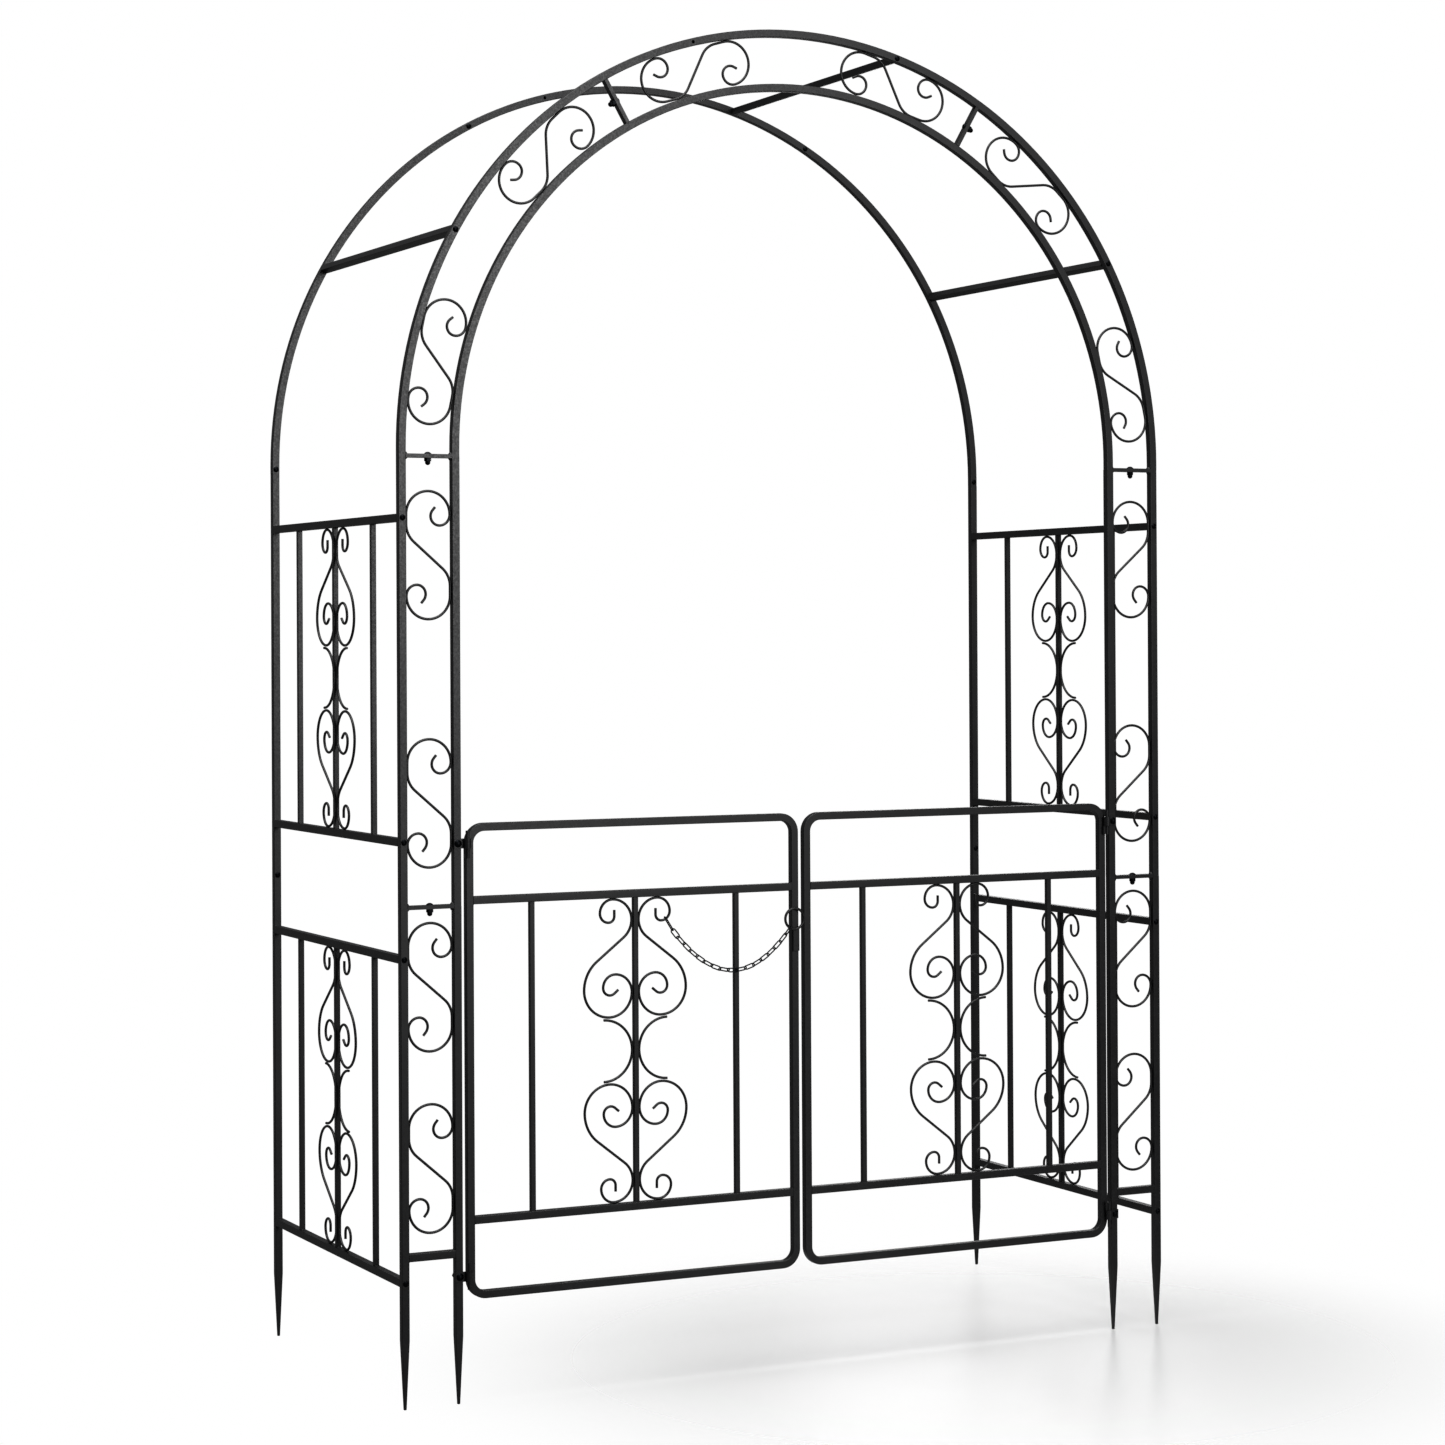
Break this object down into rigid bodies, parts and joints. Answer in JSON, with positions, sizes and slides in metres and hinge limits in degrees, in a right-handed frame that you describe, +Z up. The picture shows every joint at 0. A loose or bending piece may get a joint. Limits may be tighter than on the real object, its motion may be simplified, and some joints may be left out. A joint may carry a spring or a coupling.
{
  "type": "garden trellis arch with gate",
  "caption": "Round-topped garden arch of black square steel tube with scrollwork side panels, ground spikes and a double gate closed by a chain and ring.",
  "frame": {"origin": "on the ground, midway between the two sides and midway between the front ladder and the back frame", "axes": "+X to the right seen from the gate side, +Y from the gate side to the back, +Z up"},
  "size_m": [1.36, 0.6261, 2.1339],
  "materials": {
    "powder_coat": "satin black powder coat",
    "coated_wire": "satin black powder coat on bent wire",
    "black_fasteners": "semi-gloss black",
    "chain_steel": "blackened steel"
  },
  "bodies": {
    "arch_frame": {"back_arch_left": "powder_coat", "back_arch_right": "powder_coat", "back_arch_top": "powder_coat", "back_joint_screws": "black_fasteners", "back_left_leg": "powder_coat", "back_left_post": "powder_coat", "back_right_leg": "powder_coat", "back_right_post": "powder_coat", "cross_tube_screws": "black_fasteners", "front_inner_arch_left": "powder_coat", "front_inner_arch_right": "powder_coat", "front_inner_arch_top": "powder_coat", "front_left_inner_leg": "powder_coat", "front_left_inner_post": "powder_coat", "front_left_outer_leg": "powder_coat", "front_left_outer_post": "powder_coat", "front_outer_arch_left": "powder_coat", "front_outer_arch_right": "powder_coat", "front_outer_arch_top": "powder_coat", "front_right_inner_leg": "powder_coat", "front_right_inner_post": "powder_coat", "front_right_outer_leg": "powder_coat", "front_right_outer_post": "powder_coat", "hinge_bolts": "black_fasteners", "hinge_brackets": "powder_coat", "joint_bolts": "black_fasteners", "joint_plates": "powder_coat", "ladder_foot_rails": "powder_coat", "left_arch_scrolls": "coated_wire", "left_cross_tube": "powder_coat", "left_leg_scrolls": "coated_wire", "left_lower_panel_frame": "powder_coat", "left_lower_panel_scrolls": "coated_wire", "left_post_scrolls": "coated_wire", "left_upper_panel_frame": "powder_coat", "left_upper_panel_scrolls": "coated_wire", "panel_screws": "black_fasteners", "right_arch_scrolls": "coated_wire", "right_cross_tube": "powder_coat", "right_leg_scrolls": "coated_wire", "right_lower_panel_frame": "powder_coat", "right_lower_panel_scrolls": "coated_wire", "right_post_scrolls": "coated_wire", "right_upper_panel_frame": "powder_coat", "right_upper_panel_scrolls": "coated_wire", "top_arch_scrolls": "coated_wire", "top_cross_tube": "powder_coat"},
    "left_gate": {"left_gate_bars": "powder_coat", "left_gate_frame": "powder_coat", "left_gate_hinge_pins": "powder_coat", "left_gate_rails": "powder_coat", "left_gate_scrolls": "coated_wire", "catch_ring": "coated_wire", "chain_hook": "chain_steel", "gate_chain": "chain_steel"},
    "right_gate": {"right_gate_bars": "powder_coat", "right_gate_frame": "powder_coat", "right_gate_hinge_pins": "powder_coat", "right_gate_rails": "powder_coat", "right_gate_scrolls": "coated_wire"}
  },
  "joints": [
    {"name": "left_gate_hinge", "type": "hinge", "parent": "arch_frame", "child": "left_gate", "pos_m": [-0.5735, -0.31198, 0.523], "axis": [0, 0, -1], "range_deg": [0, 170]},
    {"name": "right_gate_hinge", "type": "hinge", "parent": "arch_frame", "child": "right_gate", "pos_m": [0.5735, -0.31198, 0.523], "axis": [0, 0, 1], "range_deg": [0, 170]}
  ]
}
